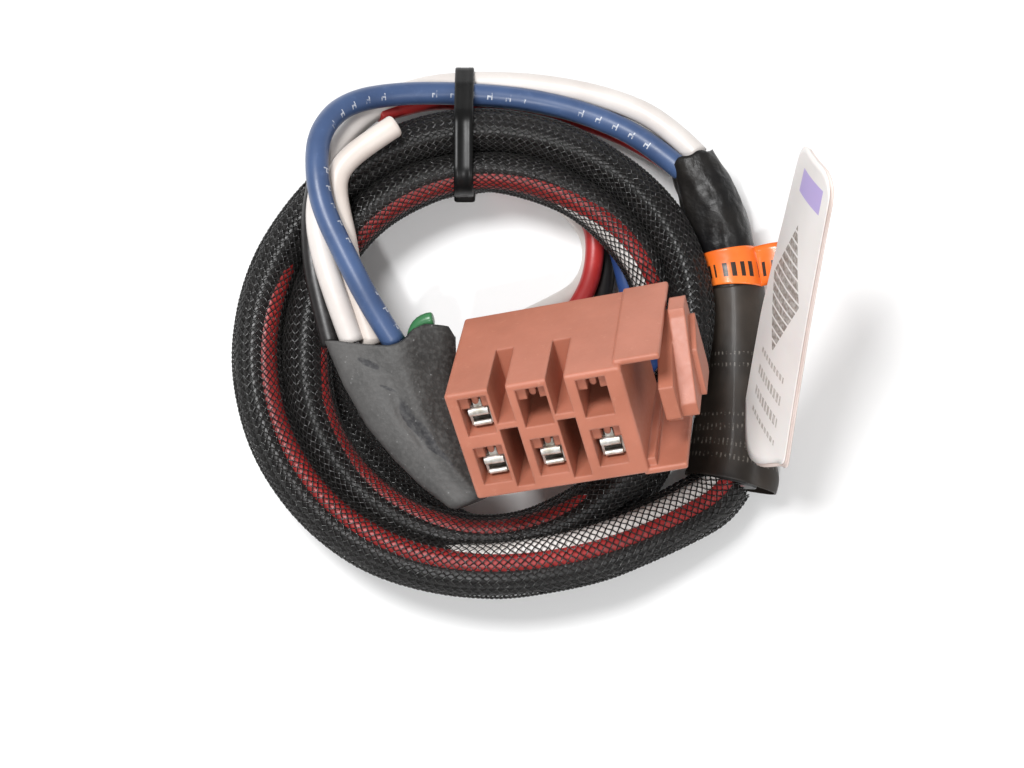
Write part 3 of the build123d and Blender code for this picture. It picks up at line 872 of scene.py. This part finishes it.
def shrink_tube():
    """A shrunk tube over a bundle: long wrinkles, and a torn mouth that shows its wall."""
    line, along = even_steps(tube_line, 0.5 * MM)
    frames = carried_frames(line)
    angles = tube_angles(64)
    wrinkle = noise_grid(along, angles, 90.0, 1.5, 3.0) * 0.50 * MM
    wrinkle += noise_grid(along, angles, 330.0, 3.0, 9.0) * 0.26 * MM
    wrinkle *= np.clip(0.35 + along / (5 * MM), 0, 1)[:, None]
    radius = shrink_radius(along)[:, None] + wrinkle
    edge = 0.40 * np.sin(2 * angles + 0.6) + 0.22 * np.sin(7 * angles + 2.0)
    torn = np.exp(-along / (1.6 * MM))[:, None] * edge * MM
    outer = ring_grid(line, frames, radius, angles, torn)
    inner = ring_grid(line, frames, radius - WALL * MM, angles, torn)[:INSIDE_RINGS]
    obj = grid_object("shrink_tube_skin", np.concatenate([inner[::-1], outer]), "shrink")
    piece(obj, "heat_shrink", "shrink_tube")


def spliced_wires():
    """The five conductors side by side inside the tube, slowly twisted."""
    line, along = (v[1:] for v in even_steps(tube_line, 0.8 * MM))
    _, side, up = carried_frames(line)
    gap = 1.75 * MM
    parts = []
    for n, colour in enumerate(("blue", "white", "black", "red", "cream")):
        turn = 2 * np.pi * n / 5 + 1.9 + along * 18.0
        centre = line + side * (gap * np.cos(turn))[:, None] + up * (gap * np.sin(turn))[:, None]
        parts.append((tube_rows(centre, 1.3 * MM, 14)[0], colour))
    piece(join_grids("spliced_wires", parts), "black_insulation", "splice_bundle")


def wound_band(name, material, keep, frames, radius, thick, start=0.0, shift=None):
    """A thin closed shell round one stretch of the tube, its print measured from the start."""
    line = SHRINK_FINE[keep]
    along = SHRINK_ALONG[keep]
    frames = tuple(f[keep] for f in frames)
    outer = ring_grid(line, frames, radius, BAND_ANGLES, shift)
    inner = ring_grid(line, frames, radius - thick, BAND_ANGLES, shift)
    rows = np.concatenate([inner[::-1], outer, inner[-1:]])
    pairs = turn_pairs(np.concatenate([along[::-1], along, along[-1:]]), BAND_ANGLES, start)
    return grid_object(name, rows, material, caps=False, uv=pairs)


def orange_label():
    """The orange vinyl band, a little aslant."""
    first, last = 15.6 * MM, 22.0 * MM
    keep = (SHRINK_ALONG >= first) & (SHRINK_ALONG <= last)
    along = SHRINK_ALONG[keep]
    radius = shrink_radius(along)[:, None] + 0.28 * MM
    radius = radius + noise_grid(along, BAND_ANGLES, 90.0, 1.5, 3.0) * 0.3 * MM
    slant = np.broadcast_to(0.5 * MM * np.cos(BAND_ANGLES + 0.6), radius.shape)
    frames = carried_frames(SHRINK_FINE)
    obj = wound_band("orange_band_vinyl", "orange", keep, frames, radius, 0.22 * MM, first, slant)
    piece(obj, "orange_label", "orange_band")


def orange_tail():
    """The label's two ends stuck together, standing out from the tube towards the flag."""
    first = place((42.2, 17.3, 9.2))
    second = place((43.0, 11.0, 8.8))
    out = np.array([3.9, 0.4, 2.0]) * MM
    thick = np.array([0.0, 0.0, 0.12 * MM])
    rows = []
    for t in np.linspace(0, 1, 9):
        bow = np.array([0.0, 0.0, 0.35 * MM * math.sin(math.pi * t)])
        top = np.array([first + out * t + bow + (second - first) * k for k in np.linspace(0, 1, 8)])
        rows.append(np.concatenate([top + thick, (top - thick)[::-1]]))
    rows = np.array(rows)
    pairs = np.zeros((*rows.shape[:2], 2))
    pairs[:, :, 0] = np.concatenate([np.linspace(0, 6.4, 8), np.linspace(6.4, 0, 8)])[None, :]
    pairs[:, :, 1] = np.linspace(0.0, 0.09, 9)[:, None]
    piece(grid_object("orange_band_tail", rows, "orange", uv=pairs, slab=True), "orange_label")


def bell(value, middle, width):
    return np.exp(-((value - middle) / width) ** 2)


def wrap_film():
    """Clear film over the lower half of the tube, flared at its end and swept out to the flag."""
    keep = SHRINK_ALONG >= 21.8 * MM
    along = SHRINK_ALONG[keep]
    angles = BAND_ANGLES
    to_end = (along[-1] - along)[:, None] / MM
    flare = 0.9 * np.exp(-to_end / 3.2)
    lobe = 2.8 * bell(to_end, 2.0, 4.5) * bell(np.mod(angles - LOBE_ANGLE + np.pi, 2 * np.pi), np.pi, 0.55)
    bulge = 1.5 * bell(to_end, 6.0, 8.0) * bell(angles, np.pi, 0.7)
    radius = shrink_radius(along)[:, None] + (0.30 + flare + lobe + bulge) * MM
    radius = radius + noise_grid(along, angles, 40.0, 1.2, 21.0) * 0.5 * MM
    obj = wound_band("wrap_film", "wrap", keep, level_frames(SHRINK_FINE), radius, 0.25 * MM)
    piece(obj, "clear_wrap", "wrap_label")


# ---- the flag
# height up the flag (0 at the foot), root edge point, free edge point
FLAG_STATIONS = [
    (-0.15, 38.2, -14.8, 8.6, 43.4, -24.6, 15.6), (0.0, 40.4, -7.8, 12.3, 45.1, -19.2, 19.4),
    (0.35, 42.7, 4.9, 19.0, 47.0, -5.4, 28.2), (0.7, 45.4, 17.4, 26.8, 48.6, 7.4, 37.4),
    (1.0, 47.4, 28.0, 33.5, 49.8, 18.5, 46.2),
]
FLAG_PLY = 0.22
CORNER = 0.11
TOP_CORNER = 0.28


def flag_point(along, across):
    """A point of the flag's face, bowed a little across its width and along its length."""
    root, free = (np.array([at_keys(along, FLAG_STATIONS, k + n) for n in range(3)]) for k in (1, 4))
    bow = 0.7 * math.sin(math.pi * min(max(across, 0), 1)) + 0.5 * math.sin(math.pi * min(max(along, 0), 1))
    return root + (free - root) * across + FLAG_NORMAL * bow


def corner_cut(edge, corner):
    """How far a round corner is cut back, as a share, at this distance from the edge."""
    return 1 - math.sqrt(max(0.0, 1 - max(0.0, 1 - edge / corner) ** 2))


def flag_limits(across):
    """How far the flag reaches down and up its length at one place across its width."""
    top = 1.0 - 0.085 * corner_cut(min(across, 1 - across), TOP_CORNER)
    bottom = -0.085 * math.sin(math.pi * min(across / 0.9, 1.0)) ** 1.1
    return bottom + 0.04 * corner_cut(1 - across, CORNER), top


def flag_ply(behind, sideways):
    """One ply as a closed slab; behind and sideways move it off the first one."""
    columns = 26
    steps = 46
    across = (1 - np.cos(np.linspace(0, np.pi, columns))) / 2
    front = np.zeros((steps, columns, 3))
    pairs = np.zeros((steps, columns, 2))
    for j, c in enumerate(across):
        for i, a in enumerate(np.linspace(*flag_limits(c), steps)):
            front[i, j] = flag_point(a, c + sideways) - FLAG_NORMAL * behind
            pairs[i, j] = (a, c)
    back = front - FLAG_NORMAL * FLAG_PLY
    rows = place(np.concatenate([front, back[:, ::-1]], 1))
    return rows, np.concatenate([pairs, pairs[:, ::-1]], 1)


def build_flag():
    for name, behind, sideways, material in (
        ("flag_front_ply", 0.0, 0.0, "label"), ("flag_back_ply", 0.30, 0.055, "backing"),
    ):
        rows, pairs = flag_ply(behind, sideways)
        obj = grid_object(name, rows, material, uv=pairs, slab=True)
        piece(obj, "label_paper", "flag_label", body="flag")


# ---- the boot
# down the boot: its left edge, its right edge, half thickness, height of its middle
BOOT_STATIONS = [
    (0.00, -23.8, 0.5, -3.9, 1.0, 4.2, 16.6), (0.25, -20.9, -6.0, -3.7, -4.6, 4.1, 16.6),
    (0.50, -17.3, -12.3, -3.3, -10.0, 3.8, 16.8), (0.70, -13.2, -17.3, -1.9, -14.6, 3.4, 17.0),
    (0.88, -8.8, -21.6, -0.1, -18.8, 3.0, 17.1), (1.00, -5.4, -24.2, 1.2, -21.6, 2.6, 17.2),
]
# across the boot's front edge (-1 left, 1 right): how far the mouth stands up or dips
MOUTH_EDGE = [
    (-1, 0.2), (-0.6, -0.8), (-0.2, -1.5), (0.05, -1.7), (0.25, -0.8), (0.40, 1.2), (0.55, 1.9),
    (0.90, 1.7), (1, 0.2),
]
BOOT_WALL = 0.9
BOOT_RINGS = 60
MOUTH_RINGS = 14         # how many of them the inside wall has


def signed_power(value, power):
    return math.copysign(abs(value) ** power, value)


def boot_rows():
    """Rings down the boot, with its crest, the crease beside it and soft dents."""
    rows = []
    for t in np.linspace(0, 1, BOOT_RINGS):
        left_x, left_y, right_x, right_y, half, level = (at_keys(t, BOOT_STATIONS, k) for k in range(1, 7))
        centre = np.array([left_x + right_x, left_y + right_y]) / 2
        across = np.array([right_x - left_x, right_y - left_y]) / 2
        down = unit(np.array([across[1], -across[0]]))
        crest = 0.05 + 0.12 * t
        ring = []
        for angle in tube_angles(88):
            s = math.sin(angle)
            x = signed_power(math.cos(angle), 0.8)
            z = half * signed_power(s, 0.75)
            lift = 0.6
            if s > 0:
                z += 0.95 * bell(x, crest, 0.34) * (1 - 0.5 * t)
                z -= 0.85 * bell(t, 0.52, 0.26) * bell(x, crest - 0.24, 0.13)
                lift = at_keys(x, MOUTH_EDGE, 1)
            dent = noise.noise(Vector((x * 1.6, t * 3.2, 4.0 + 0.6 * s))) * 0.45
            dent += noise.noise(Vector((x * 5.0, t * 9.0, 1.0 + s))) * 0.12
            flat = centre + across * x - down * lift * max(0.0, 1 - t / 0.22)
            ring.append((*flat, level + z + dent * s))
        rows.append(ring)
    return np.array(rows)


def build_boot():
    """The boot as a shell with an open mouth: inside wall, lip, outside and a rounded tip."""
    outer = boot_rows()
    middle = outer.mean(1, keepdims=True)[:MOUTH_RINGS]
    offset = outer[:MOUTH_RINGS] - middle
    inner = middle + offset * (1 - BOOT_WALL / np.linalg.norm(offset, axis=2, keepdims=True))
    tip = outer[-1]
    centre = tip.mean(0)
    ahead = unit(centre - outer[-3].mean(0))
    a = np.linspace(0, np.pi / 2, 8)[1:-1, None, None]
    caps = centre + (tip - centre) * (0.62 + 0.38 * np.cos(a)) + ahead * 1.3 * np.sin(a)
    rows = place(np.concatenate([inner[::-1], outer, caps]))
    pairs = np.zeros((*rows.shape[:2], 2))
    pairs[:, :, 0] = np.linspace(-MOUTH_RINGS / BOOT_RINGS, 1, len(rows))[:, None]
    turn = tube_angles(rows.shape[1])
    pairs[:, :, 1] = 0.5 + 0.5 * np.cos(turn) * np.where(np.sin(turn) >= 0, 1, -1)
    piece(grid_object("boot_shell", rows, "boot", uv=pairs), "boot_rubber", "boot")


# ---- the cable tie
TIE_X = -2.9
TIE_HALF_WIDTH = 1.5
TIE_THICK = 0.75
TIE_HEAD_AT = (27.5, 3.2)
TIE_HEAD_TURN = math.radians(-59.4)
TIE_HEAD_HALF = (1.8, 1.0, 1.7)
# the strap's section: across it and out of it, in half widths and thicknesses
TIE_SECTION = [
    (-1, -0.3), (-1, 0.3), (-0.88, 0.5), (-0.45, 0.5), (-0.38, 0.4), (0.38, 0.4), (0.45, 0.5),
    (0.88, 0.5), (1, 0.3), (1, -0.3), (0.88, -0.5), (-0.88, -0.5),
]
# what the strap goes round: y, z and radius of each round thing
TIE_HOLDS = [
    (29.3, 10.4, 3.3), (35.9, 10.4, 3.75), (31.3, 3.8, 2.7), (44.9, 6.4, 1.8), (42.3, 8.4, 1.85),
    (43.4, 2.9, 1.6),
]


def build_tie():
    """A strap round everything it holds, its middle finely notched, and its head."""
    turn = tube_angles(90)
    cloud = []
    for y, z, r in TIE_HOLDS:
        reach = r + TIE_THICK / 2
        cloud += list(zip(y + reach * np.cos(turn), z + reach * np.sin(turn)))
    # their convex outline, anticlockwise from the leftmost point
    outline = [cloud[i] for i in convex_hull_2d(cloud)]
    start = outline.index(min(outline))
    closed = np.array(outline[start:] + outline[:start + 1])
    path, _ = even_steps(np.column_stack([np.full(len(closed), TIE_X), closed]), 0.35)
    path = path[:-1]
    ahead = unit(np.roll(path, -1, axis=0) - np.roll(path, 1, axis=0))
    out = np.column_stack([np.zeros(len(path)), ahead[:, 2], -ahead[:, 1]])
    wide = np.array([1.0, 0.0, 0.0])
    notch = 0.05 * (np.arange(len(path)) % 2)[:, None]
    strap = np.stack([
        path + wide * (w * TIE_HALF_WIDTH) + out * (h * TIE_THICK) + out * (notch if abs(w) < 0.4 else 0)
        for w, h in TIE_SECTION
    ], 1)
    strap = np.concatenate([strap, strap[:1]])
    c = math.cos(TIE_HEAD_TURN)
    s = math.sin(TIE_HEAD_TURN)
    axes = np.array([(0, c, s), (0, -s, c), (1, 0, 0)])
    head = rounded_block(np.array([TIE_X, *TIE_HEAD_AT]), axes, TIE_HEAD_HALF)
    tie = join_grids("tie_strap", [(place(strap), "tie"), (place(head), "tie")])
    piece(tie, "tie_nylon", "cable_tie")


def rounded_block(centre, axes, half, power=0.28):
    """A moulded block with rounded edges, as rings from end to end of its first axis."""
    rows = []
    for lat in np.linspace(-np.pi / 2 + 0.05, np.pi / 2 - 0.05, 18):
        reach = math.cos(lat) ** power
        end = signed_power(math.sin(lat), power)
        ring = []
        for lon in tube_angles(28):
            c = signed_power(math.cos(lon), power) * reach
            s = signed_power(math.sin(lon), power) * reach
            ring.append(centre + axes[0] * half[0] * end + axes[1] * half[1] * c + axes[2] * half[2] * s)
        rows.append(ring)
    return np.array(rows)


tube_line = spline_line(SHRINK_LINE, "shrink_route")
SHRINK_FINE, SHRINK_ALONG = even_steps(tube_line, 0.3 * MM)
LOBE_ANGLE = math.radians(-12)
flag_foot = np.array(FLAG_STATIONS[0])
flag_top = np.array(FLAG_STATIONS[-1])
FLAG_NORMAL = unit(np.cross(flag_foot[4:] - flag_foot[1:4], flag_top[1:4] - flag_foot[1:4]))
shrink_tube()
spliced_wires()
orange_label()
orange_tail()
wrap_film()
build_flag()
build_boot()
build_tie()


# ---- carried-over CAD pieces get their materials
CARRIED = {"connector_housing": "terracotta", "latch_arm": "terracotta"}
for n in range(1, 5):
    CARRIED[f"terminal_{n}"] = "terminal"
for node, material in CARRIED.items():
    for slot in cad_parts[node].material_slots:
        slot.material = MATERIAL[material]
